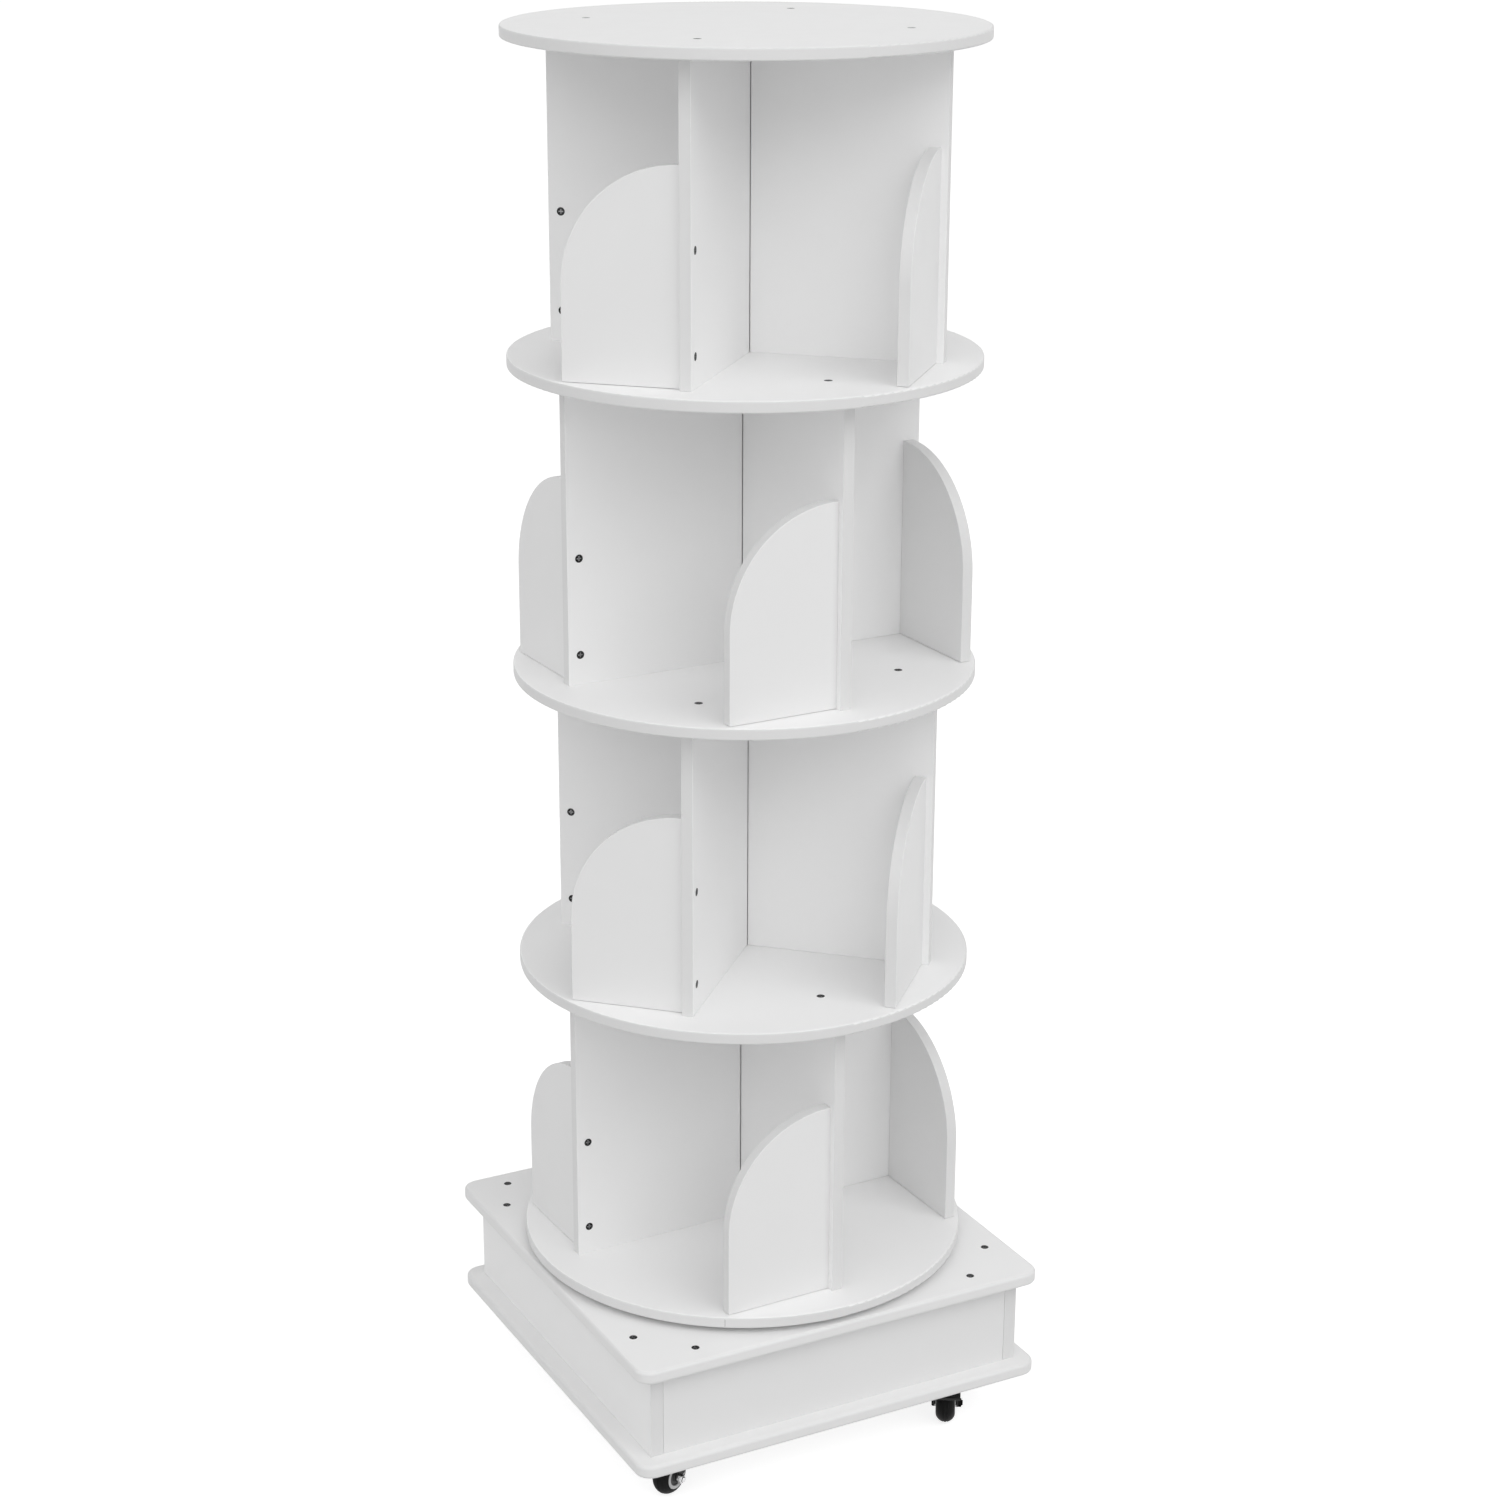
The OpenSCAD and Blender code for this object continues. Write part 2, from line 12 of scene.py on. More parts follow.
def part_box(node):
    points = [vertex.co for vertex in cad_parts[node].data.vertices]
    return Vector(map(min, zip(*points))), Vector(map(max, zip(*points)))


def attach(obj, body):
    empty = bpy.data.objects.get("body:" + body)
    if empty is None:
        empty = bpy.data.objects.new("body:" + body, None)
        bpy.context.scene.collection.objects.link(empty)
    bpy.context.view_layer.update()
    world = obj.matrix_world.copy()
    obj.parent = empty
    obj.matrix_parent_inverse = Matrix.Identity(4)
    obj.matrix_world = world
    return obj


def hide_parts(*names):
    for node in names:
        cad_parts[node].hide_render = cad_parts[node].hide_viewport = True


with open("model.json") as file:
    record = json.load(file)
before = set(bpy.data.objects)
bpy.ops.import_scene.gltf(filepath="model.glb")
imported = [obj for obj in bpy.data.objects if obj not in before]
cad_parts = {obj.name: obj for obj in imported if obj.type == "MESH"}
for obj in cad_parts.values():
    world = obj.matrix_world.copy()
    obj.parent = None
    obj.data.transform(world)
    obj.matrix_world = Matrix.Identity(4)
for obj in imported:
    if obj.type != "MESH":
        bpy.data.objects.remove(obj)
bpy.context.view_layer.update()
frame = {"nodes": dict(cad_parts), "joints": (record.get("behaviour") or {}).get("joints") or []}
NODES = frame["nodes"]
JOINTS = {joint["name"]: joint for joint in frame["joints"]}

bl_info = {
    "name": "Revolving Bookcase",
    "version": (1, 0, 0),
    "blender": (4, 5, 0),
    "location": "3D View > Sidebar > Bookcase",
    "description": "Finishes the boards, screws, turntable and casters of a revolving bookcase",
    "category": "Object",
}

CASTERS = ("front_left", "front_right", "back_left", "back_right")
BRAKED_CASTERS = ("front_right", "back_left")
DISCS = ("bottom_disc", "lower_shelf_disc", "middle_shelf_disc", "upper_shelf_disc", "top_disc")
TIERS = range(1, 5)
PANELS = tuple(f"tier_{tier}_panel_{slot}" for tier in TIERS for slot in range(1, 5))
BOOK_STOPS = tuple(f"tier_{tier}_book_stops" for tier in TIERS)
SCREWS = (
    "stop_screws",
    "panel_screws",
    "base_screws",
    "turntable_lower_screws",
    "turntable_upper_screws",
    "caster_screws",
)
TURNTABLE = ("turntable_lower_plate", "turntable_upper_plate", "turntable_balls")

# Range in which noise mostly stays
NOISE_RANGE = (0.3, 0.7)

# Upward shares of a surface's direction between which a rim fades out, without and with rounded edges
RIM_TILTS = (0.6, 0.85)
ROUNDED_TILTS = (0.88, 0.99)

# Width of a hollow in metres, shares of open sky between which it fades out, and rays that tell
HOLLOW_REACH = 0.0015
HOLLOW_OPENNESS = (0.7, 0.95)
HOLLOW_SAMPLES = 8

# Streaks in metal run along the axis with the small number
STREAKS_UP = (1.0, 1.0, 0.2)
STREAKS_ACROSS = (1.0, 0.15, 1.0)

# How edges and faces with an edge band are found: lengths in metres, angles in degrees
SHARP_ANGLE = 35.0
FLAT_ANGLE = 0.5
SMOOTH_ANGLE = 30.0
WELD_REACH = 0.000002
EDGE_SEGMENTS = 3
PANEL_SHORTEST = 0.0011
BASE_SHORTEST = 0.0008
CASTER_SHORTEST = 0.0
BAND_MARK = "edge_band"
BAND_DEPTH = 0.02
RAY_START = 0.00001
RAY_LENGTH = 1.0

# Round side of a wheel in metres, which tyre and hub ring share
TYRE_R = 0.018
TYRE_HALF = 0.009
CROWN_DEPTH = 0.0085
CROWN_POWER = 1.06
HUB_R = 0.01125


# Settings


class BoardSettings(bpy.types.PropertyGroup):
    """Finish of the laminated boards."""

    colour: FloatVectorProperty(
        name="Board colour",
        description="Colour of the laminate on lower discs, panels and the base's top, left and right",
        subtype="COLOR",
        default=(0.92, 0.92, 0.92),
        min=0.0,
        max=1.0,
    )
    # Painted shade: a darker copy of the same white laminate, used on the book stops and the top disc
    painted_shade_colour: FloatVectorProperty(
        name="Board colour with painted shade",
        description="Colour of the laminate on the book stops and the top disc",
        subtype="COLOR",
        default=(0.83, 0.83, 0.83),
        min=0.0,
        max=1.0,
    )
    band_colour: FloatVectorProperty(
        name="Edge band colour",
        description="Colour of the band on the narrow edges of the boards",
        subtype="COLOR",
        default=(0.74, 0.74, 0.74),
        min=0.0,
        max=1.0,
    )
    # Painted shade: a darker copy of the same white laminate on the base's bottom board
    bottom_shade_colour: FloatVectorProperty(
        name="Base bottom colour with painted shade",
        description="Colour of the laminate on the base's bottom board",
        subtype="COLOR",
        default=(0.87, 0.87, 0.87),
        min=0.0,
        max=1.0,
    )
    # Painted shade: a darker copy of the same white laminate on the base's front and back, also used on the
    # rims of its top and bottom
    front_shade_colour: FloatVectorProperty(
        name="Base front colour with painted shade",
        description="Colour of the base's front and back boards and of the rims of its top and bottom",
        subtype="COLOR",
        default=(0.8, 0.8, 0.8),
        min=0.0,
        max=1.0,
    )
    clouding: FloatProperty(
        name="Clouding",
        description="How far the laminate darkens in its faint clouds",
        subtype="FACTOR",
        default=0.025,
        min=0.0,
        max=0.2,
    )
    sheen_roughness: FloatProperty(
        name="Roughness",
        description="Mean roughness of the satin surface",
        subtype="FACTOR",
        default=0.46,
        min=0.05,
        max=1.0,
    )
    panel_edge: FloatProperty(
        name="Panel edge radius",
        description="Rounding along the edges of panels, book stops and base sides",
        subtype="DISTANCE",
        unit="LENGTH",
        default=0.0004,
        min=0.0001,
        max=0.003,
    )
    base_edge: FloatProperty(
        name="Base edge radius",
        description="Rounding along the edges of the base top and bottom",
        subtype="DISTANCE",
        unit="LENGTH",
        default=0.0028,
        min=0.0001,
        max=0.004,
    )
    seam_width: FloatProperty(
        name="Band seam width",
        description="Width of the joint where a disc's edge band meets itself",
        subtype="DISTANCE",
        unit="LENGTH",
        default=0.00035,
        min=0.0001,
        max=0.001,
    )


class MetalSettings(bpy.types.PropertyGroup):
    """Finish of the screws, the turntable and the dowels."""

    screw_colour: FloatVectorProperty(
        name="Screw colour",
        description="Colour of the dark zinc on the screws",
        subtype="COLOR",
        default=(0.042, 0.042, 0.043),
        min=0.0,
        max=1.0,
    )
    # Painted glint: a bright colour in the cross recesses that stands in for their highlights
    recess_glint_colour: FloatVectorProperty(
        name="Screw recess glint colour",
        description="Bright colour painted in the cross recesses as a glint",
        subtype="COLOR",
        default=(0.36, 0.36, 0.365),
        min=0.0,
        max=1.0,
    )
    turntable_colour: FloatVectorProperty(
        name="Turntable colour",
        description="Colour of the zinc on the turntable",
        subtype="COLOR",
        default=(0.5, 0.5, 0.51),
        min=0.0,
        max=1.0,
    )
    dowel_colour: FloatVectorProperty(
        name="Dowel colour",
        description="Colour of the raw beech dowels",
        subtype="COLOR",
        default=(0.53, 0.34, 0.17),
        min=0.0,
        max=1.0,
    )


class CasterSettings(bpy.types.PropertyGroup):
    """Finish of the casters, and how finely their wheels are made."""

    # On the braked casters' bolts this black is painted shade
    paint_colour: FloatVectorProperty(
        name="Paint colour",
        description="Colour of the black forks, plates and pedals, and of the painted shade on braked casters' bolts",
        subtype="COLOR",
        default=(0.009, 0.009, 0.009),
        min=0.0,
        max=1.0,
    )
    tyre_colour: FloatVectorProperty(
        name="Tyre colour",
        description="Colour of the black tyres",
        subtype="COLOR",
        default=(0.008, 0.008, 0.008),
        min=0.0,
        max=1.0,
    )
    ring_colour: FloatVectorProperty(
        name="Hub ring colour",
        description="Colour of the grey ring round a hub",
        subtype="COLOR",
        default=(0.68, 0.68, 0.685),
        min=0.0,
        max=1.0,
    )
    dish_colour: FloatVectorProperty(
        name="Hub dish colour",
        description="Colour of the dark face inside the hub ring",
        subtype="COLOR",
        default=(0.045, 0.045, 0.046),
        min=0.0,
        max=1.0,
    )
    bolt_colour: FloatVectorProperty(
        name="Axle bolt colour",
        description="Colour of the bright zinc on the axle bolts of casters without a brake",
        subtype="COLOR",
        default=(0.82, 0.82, 0.83),
        min=0.0,
        max=1.0,
    )
    press_edge: FloatProperty(
        name="Pressed edge radius",
        description="Rounding along the edges of forks, plates and pedals",
        subtype="DISTANCE",
        unit="LENGTH",
        default=0.0004,
        min=0.0001,
        max=0.0008,
    )
    wheel_segments: IntProperty(
        name="Wheel segments",
        description="Number of steps round a wheel",
        default=96,
        min=24,
        max=256,
    )


class StageSettings(bpy.types.PropertyGroup):
    """Floor, light and camera."""

    floor_colour: FloatVectorProperty(
        name="Floor colour",
        description="Colour of the pale floor",
        subtype="COLOR",
        default=(0.66, 0.66, 0.66),
        min=0.0,
        max=1.0,
    )
    ambient: FloatProperty(
        name="Ambient light",
        description="Strength of the even light from all round, at eye level",
        default=0.755,
        min=0.0,
        max=2.0,
    )
    overhead: FloatProperty(
        name="Overhead light",
        description="Strength of the even light from straight above",
        default=0.43,
        min=0.0,
        max=2.0,
    )
    key_power: FloatProperty(
        name="Key light",
        description="Power of the large lamp above the front",
        unit="POWER",
        default=138.0,
        min=0.0,
        max=2000.0,
    )
    right_power: FloatProperty(
        name="Right light",
        description="Power of the lamp above the right",
        unit="POWER",
        default=212.0,
        min=0.0,
        max=2000.0,
    )
    left_power: FloatProperty(
        name="Left light",
        description="Power of the lamp above the left",
        unit="POWER",
        default=94.0,
        min=0.0,
        max=2000.0,
    )
    camera_place: FloatVectorProperty(
        name="Camera place",
        description="Where the camera stands",
        subtype="TRANSLATION",
        unit="LENGTH",
        default=(-1.15294, -2.211, 1.46661),
    )
    camera_turn: FloatVectorProperty(
        name="Camera turn",
        description="Turn of the camera",
        subtype="EULER",
        unit="ROTATION",
        default=tuple(math.radians(v) for v in (70.8469, -0.2116, -27.5875)),
    )
    camera_lens: FloatProperty(
        name="Camera lens",
        description="Focal length in millimetres on a 36 mm sensor",
        default=72.1,
        min=20.0,
        max=200.0,
    )
    camera_rise: FloatProperty(
        name="Camera rise",
        description="Upward shift of the picture, as a share of its side",
        default=0.01127,
        min=-0.2,
        max=0.2,
    )


class BookcaseSettings(bpy.types.PropertyGroup):
    """All the settings of the bookcase."""

    boards: PointerProperty(type=BoardSettings)
    metal: PointerProperty(type=MetalSettings)
    casters: PointerProperty(type=CasterSettings)
    stage: PointerProperty(type=StageSettings)


def settings():
    """The settings that the operators read."""
    return bpy.context.scene.bookcase


# Materials


def new_material(name):
    """A node material, its tree and its main shader."""
    made = bpy.data.materials.new(name)
    made.use_nodes = True
    return made, made.node_tree, made.node_tree.nodes["Principled BSDF"]


def add_node(tree, kind, **sockets):
    """Adds a node and sets its sockets; an underscore stands for a space in a socket's name."""
    made = tree.nodes.new(kind)
    for name, value in sockets.items():
        made.inputs[name.replace("_", " ")].default_value = value
    return made


def ramp(tree, value, start, end, first, last):
    """Goes from first to last as a value goes from start to end."""
    made = add_node(tree, "ShaderNodeMapRange", From_Min=start, From_Max=end, To_Min=first, To_Max=last)
    tree.links.new(value, made.inputs["Value"])
    return made.outputs["Result"]


def noise(tree, scale, detail, stretch=(1.0, 1.0, 1.0)):
    """Noise in the part's own metres, so its grain keeps its real size."""
    where = add_node(tree, "ShaderNodeTexCoord")
    fit = add_node(tree, "ShaderNodeMapping", Scale=stretch)
    made = add_node(tree, "ShaderNodeTexNoise", Scale=scale, Detail=detail)
    tree.links.new(where.outputs["Object"], fit.inputs["Vector"])
    tree.links.new(fit.outputs["Vector"], made.inputs["Vector"])
    return made.outputs["Fac"]


def upward(tree, coordinate):
    """Upward share of a direction that the texture coordinates give."""
    where = tree.nodes.new("ShaderNodeTexCoord")
    split = tree.nodes.new("ShaderNodeSeparateXYZ")
    tree.links.new(where.outputs[coordinate], split.inputs["Vector"])
    return split.outputs["Z"]


def mix_colours(tree, share, first, second):
    """Goes from one colour to another as share goes from 0 to 1; each is fixed or another node's output."""
    made = tree.nodes.new("ShaderNodeMix")
    made.data_type = "RGBA"
    tree.links.new(share, made.inputs["Factor"])
    sockets = [socket for socket in made.inputs if socket.type == "RGBA"]
    for socket, colour in zip(sockets, (first, second)):
        if isinstance(colour, bpy.types.NodeSocket):
            tree.links.new(colour, socket)
        else:
            socket.default_value = (*colour, 1.0)
    return next(out for out in made.outputs if out.type == "RGBA")


def mottled(tree, source, colour, share):
    """A colour that noise darkens by up to a share."""
    dark = tuple(channel * (1.0 - share) for channel in colour)
    return mix_colours(tree, source, dark, colour)


def uneven_sheen(tree, source, shader, roughness, less, more):
    """Lets noise lower and raise a surface's roughness."""
    made = ramp(tree, source, *NOISE_RANGE, roughness - less, roughness + more)
    tree.links.new(made, shader.inputs["Roughness"])


def relief(tree, source, shader, depth, strength):
    """Fine relief of a surface, as deep as depth in metres."""
    made = add_node(tree, "ShaderNodeBump", Strength=strength, Distance=depth)
    tree.links.new(source, made.inputs["Height"])
    tree.links.new(made.outputs["Normal"], shader.inputs["Normal"])


def marked_band(tree):
    """1 on the narrow faces of a board, which carry its edge band, else 0."""
    made = tree.nodes.new("ShaderNodeAttribute")
    made.attribute_name = BAND_MARK
    return made.outputs["Fac"]


def upright_band(tree, tilts=RIM_TILTS):
    """1 on the upright rim of a level board, which carries its edge band, else 0."""
    tilt = tree.nodes.new("ShaderNodeMath")
    tilt.operation = "ABSOLUTE"
    tree.links.new(upward(tree, "Normal"), tilt.inputs[0])
    return ramp(tree, tilt.outputs["Value"], *tilts, 1.0, 0.0)


def rounded_band(tree):
    """1 on the upright rim of a level board and on its rounded edges, else 0."""
    return upright_band(tree, ROUNDED_TILTS)


def hollows(tree, reach):
    """1 in hollows that are narrower than reach, else 0."""
    made = add_node(tree, "ShaderNodeAmbientOcclusion", Distance=reach)
    made.only_local = True
    made.samples = HOLLOW_SAMPLES
    return ramp(tree, made.outputs["AO"], *HOLLOW_OPENNESS, 1.0, 0.0)


def laminate(name, colour, band, band_colour):
    """White laminated board: a fine pearl grain, faint clouds, an uneven satin sheen and an edge band."""
    boards = settings().boards
    made, tree, shader = new_material(name)
    clouds = noise(tree, scale=7.0, detail=3.0)
    pearl = noise(tree, scale=1500.0, detail=2.0)
    sheen = noise(tree, scale=60.0, detail=3.0)
    face = mottled(tree, clouds, colour, boards.clouding)
    tree.links.new(mix_colours(tree, band(tree), face, band_colour), shader.inputs["Base Color"])
    uneven_sheen(tree, sheen, shader, boards.sheen_roughness, less=0.04, more=0.04)
    relief(tree, pearl, shader, depth=0.0001, strength=0.12)
    return made


def band_joint(name, colour):
    """Dull line where an edge band meets itself."""
    made, tree, shader = new_material(name)
    dirt = noise(tree, scale=900.0, detail=2.0)
    tree.links.new(mottled(tree, dirt, colour, share=0.3), shader.inputs["Base Color"])
    shader.inputs["Roughness"].default_value = 0.8
    return made


def metal(name, colour, roughness, streak, hollow_light_and_shade=None, glance=1.0):
    """Plated steel with fine streaks and a slightly uneven plating.

    hollow_light_and_shade is a colour painted into its hollows: a painted glint on the screws, painted
    shade on the axle bolts; glance is how bright it is seen along its surface.
    """
    made, tree, shader = new_material(name)
    shader.inputs["Metallic"].default_value = 1.0
    shader.inputs["Specular Tint"].default_value = (glance, glance, glance, 1.0)
    plating = noise(tree, scale=350.0, detail=3.0)
    streaks = noise(tree, scale=900.0, detail=2.0, stretch=streak)
    skin = mottled(tree, plating, colour, share=0.22)
    # Painted light in hollows, found by occlusion: a lighter colour paints a glint, a darker one paints
    # shade
    if hollow_light_and_shade is not None:
        skin = mix_colours(tree, hollows(tree, HOLLOW_REACH), skin, hollow_light_and_shade)
    tree.links.new(skin, shader.inputs["Base Color"])
    uneven_sheen(tree, streaks, shader, roughness, less=0.07, more=0.1)
    relief(tree, streaks, shader, depth=0.00005, strength=0.2)
    return made


def moulded(name, colour, roughness, grain, depth, gloss=0.5):
    """Paint, plastic or rubber with a fine grain."""
    made, tree, shader = new_material(name)
    shader.inputs["Specular IOR Level"].default_value = gloss
    dust = noise(tree, scale=260.0, detail=4.0)
    skin = noise(tree, scale=grain, detail=3.0)
    tree.links.new(mottled(tree, dust, colour, share=0.3), shader.inputs["Base Color"])
    uneven_sheen(tree, dust, shader, roughness, less=0.06, more=0.08)
    relief(tree, skin, shader, depth=depth, strength=0.25)
    return made


def raw_beech(name, colour):
    """Raw turned beech with short dark flecks along its length."""
    made, tree, shader = new_material(name)
    grain = noise(tree, scale=300.0, detail=5.0, stretch=(1.0, 1.0, 0.12))
    tree.links.new(mottled(tree, grain, colour, share=0.4), shader.inputs["Base Color"])
    shader.inputs["Roughness"].default_value = 0.75
    relief(tree, grain, shader, depth=0.0001, strength=0.4)
    return made


def dress(node, finish):
    """Gives a CAD node its one finish."""
    node.data.materials.clear()
    node.data.materials.append(finish)


# Rounded edges of CAD nodes


def choose(group, kind, **choices):
    """Adds a node to a geometry node group and makes its choices."""
    made = group.nodes.new(kind)
    for name, choice in choices.items():
        setattr(made, name, choice)
    return made


def more_than(group, value, limit):
    """True where a value is above a limit."""
    test = choose(group, "FunctionNodeCompare", data_type="FLOAT", operation="GREATER_THAN")
    group.links.new(value, test.inputs[0])
    test.inputs[1].default_value = limit
    return test.outputs[0]


def logic(group, operation, *values):
    """Joins true or false values by an operation."""
    made = choose(group, "FunctionNodeBooleanMath", operation=operation)
    for socket, value in zip(made.inputs, values):
        group.links.new(value, socket)
    return made.outputs[0]


def keep_mark(group, mesh, name, domain, value):
    """Keeps a value on the edges or faces of a mesh under a name."""
    made = choose(group, "GeometryNodeStoreNamedAttribute", data_type="FLOAT", domain=domain)
    made.inputs["Name"].default_value = name
    group.links.new(mesh, made.inputs["Geometry"])
    group.links.new(value, made.inputs["Value"])
    return made.outputs["Geometry"]


def edge_length(group):
    """Length of each edge."""
    ends = group.nodes.new("GeometryNodeInputMeshEdgeVertices")
    span = choose(group, "ShaderNodeVectorMath", operation="DISTANCE")
    group.links.new(ends.outputs["Position 1"], span.inputs[0])
    group.links.new(ends.outputs["Position 2"], span.inputs[1])
    return span.outputs["Value"]


def smoothed(group, mesh, sharp):
    """The mesh without its stored normals, smooth but for its sharp edges."""
    plain = group.nodes.new("GeometryNodeRemoveAttribute")
    plain.inputs["Name"].default_value = "custom_normal"
    faces = choose(group, "GeometryNodeSetShadeSmooth", domain="FACE")
    edges = choose(group, "GeometryNodeSetShadeSmooth", domain="EDGE")
    group.links.new(mesh, plain.inputs["Geometry"])
    group.links.new(plain.outputs["Geometry"], faces.inputs["Geometry"])
    group.links.new(faces.outputs["Geometry"], edges.inputs["Geometry"])
    group.links.new(logic(group, "NOT", sharp), edges.inputs["Shade Smooth"])
    return edges.outputs["Geometry"]


def deep_behind(group, mesh):
    """True on faces that have more than the band depth of board straight behind them."""
    middle = group.nodes.new("GeometryNodeInputPosition")
    outward = group.nodes.new("GeometryNodeInputNormal")
    inward = choose(group, "ShaderNodeVectorMath", operation="SCALE")
    inward.inputs["Scale"].default_value = -1.0
    start = choose(group, "ShaderNodeVectorMath", operation="MULTIPLY_ADD")
    start.inputs[1].default_value = (-RAY_START,) * 3
    ray = group.nodes.new("GeometryNodeRaycast")
    ray.inputs["Ray Length"].default_value = RAY_LENGTH
    group.links.new(outward.outputs["Normal"], inward.inputs["Vector"])
    group.links.new(outward.outputs["Normal"], start.inputs[0])
    group.links.new(middle.outputs["Position"], start.inputs[2])
    group.links.new(mesh, ray.inputs["Target Geometry"])
    group.links.new(start.outputs["Vector"], ray.inputs["Source Position"])
    group.links.new(inward.outputs["Vector"], ray.inputs["Ray Direction"])
    deep = more_than(group, ray.outputs["Hit Distance"], BAND_DEPTH)
    return logic(group, "AND", ray.outputs["Is Hit"], deep)


def edge_marks(shortest):
    """Node group that marks long sharp edges for rounding, and narrow faces for the edge band."""
    group = bpy.data.node_groups.new(f"Rounded edges over {shortest * 1000:g} mm", "GeometryNodeTree")
    for way in ("INPUT", "OUTPUT"):
        group.interface.new_socket("Geometry", in_out=way, socket_type="NodeSocketGeometry")
    source = group.nodes.new("NodeGroupInput")
    sink = group.nodes.new("NodeGroupOutput")
    angle = group.nodes.new("GeometryNodeInputMeshEdgeAngle")
    sharp = more_than(group, angle.outputs["Unsigned Angle"], math.radians(SHARP_ANGLE))
    rounded = logic(group, "AND", sharp, more_than(group, edge_length(group), shortest))
    mesh = smoothed(group, source.outputs[0], sharp)
    mesh = keep_mark(group, mesh, "bevel_weight_edge", "EDGE", rounded)
    mesh = keep_mark(group, mesh, BAND_MARK, "FACE", deep_behind(group, mesh))
    group.links.new(mesh, sink.inputs[0])
    return group


def weld(node):
    """Joins a CAD node's faces along their edges with a modifier."""
    node.modifiers.new("Weld", "WELD").merge_threshold = WELD_REACH


def soften(node, finish, radius, marks, segments=EDGE_SEGMENTS):
    """Gives a CAD node its finish, and rounds its edges with modifiers that leave its mesh as it is."""
    dress(node, finish)
    weld(node)
    flat = node.modifiers.new("Flat faces", "DECIMATE")
    flat.decimate_type = "DISSOLVE"
    flat.angle_limit = math.radians(FLAT_ANGLE)
    node.modifiers.new("Edge marks", "NODES").node_group = marks
    bevel = node.modifiers.new("Rounded edges", "BEVEL")
    bevel.limit_method = "WEIGHT"
    bevel.width = radius
    bevel.segments = segments
    bevel.use_clamp_overlap = False
    normals = node.modifiers.new("Even faces", "WEIGHTED_NORMAL")
    normals.keep_sharp = True


# New pieces


def arc(start, end, steps):
    """Points on a circle of radius 1 from one angle to another, in degrees."""
    turns = (math.radians(start + (end - start) * i / steps) for i in range(steps + 1))
    return [(math.cos(turn), math.sin(turn)) for turn in turns]


def lathe(shape, outline, segments, closed):
    """Turns (radius, height) points about the local Z axis; an open outline gets flat ends."""
    rings = []
    for i in range(segments):
        turn = 2 * math.pi * i / segments
        rings.append([shape.verts.new((r * math.cos(turn), r * math.sin(turn), z)) for r, z in outline])
    count = len(outline)
    for i in range(segments):
        here, there = rings[i], rings[(i + 1) % segments]
        for k in range(count if closed else count - 1):
            m = (k + 1) % count
            shape.faces.new((here[k], there[k], there[m], here[m]))
    if not closed:
        shape.faces.new([ring[0] for ring in reversed(rings)])
        shape.faces.new([ring[-1] for ring in rings])


def mesh_piece(name, shape, finish, smooth_angle=SMOOTH_ANGLE):
    """Makes an object from a bmesh, smooth but for its sharp edges."""
    bmesh.ops.recalc_face_normals(shape, faces=shape.faces)
    mesh = bpy.data.meshes.new(name)
    for face in shape.faces:
        face.smooth = True
    for edge in shape.edges:
        edge.smooth = edge.calc_face_angle(0.0) < math.radians(smooth_angle)
    shape.to_mesh(mesh)
    shape.free()
    mesh.materials.append(finish)
    piece = bpy.data.objects.new(name, mesh)
    bpy.context.scene.collection.objects.link(piece)
    return piece


def crown(start, end, steps):
    """Points on the round side of a wheel from one angle to another, in degrees."""
    inner, power = TYRE_R - CROWN_DEPTH, CROWN_POWER
    return [(inner + CROWN_DEPTH * x**power, TYRE_HALF * z**power) for x, z in arc(start, end, steps)]


def turned(name, upper, finish, smooth_angle=SMOOTH_ANGLE):
    """Turns an outline and its mirror image below the wheel's middle."""
    lower = [(x, -z) for x, z in reversed(upper)]
    shape = bmesh.new()
    lathe(shape, upper + lower, settings().casters.wheel_segments, closed=True)
    return mesh_piece(name, shape, finish, smooth_angle)


def wheel_matrix(corner):
    """Place of a wheel: local Z runs along its axle and local Y points up."""
    joint = JOINTS[f"{corner}_wheel_roll"]
    along = Vector(joint["axis"]).normalized()
    up = Vector((0.0, 0.0, 1.0))
    side = up.cross(along)
    turn = Matrix((side, up, along)).transposed().to_4x4()
    return Matrix.Translation(Vector(joint["pos_m"])) @ turn


def place(piece, matrix, body, slot, *stands_for):
    """Sets a new piece in place, lets it ride and hides the CAD nodes it stands for."""
    piece.data.transform(matrix)
    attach(piece, body)
    if stands_for:
        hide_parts(*stands_for)


# Operators


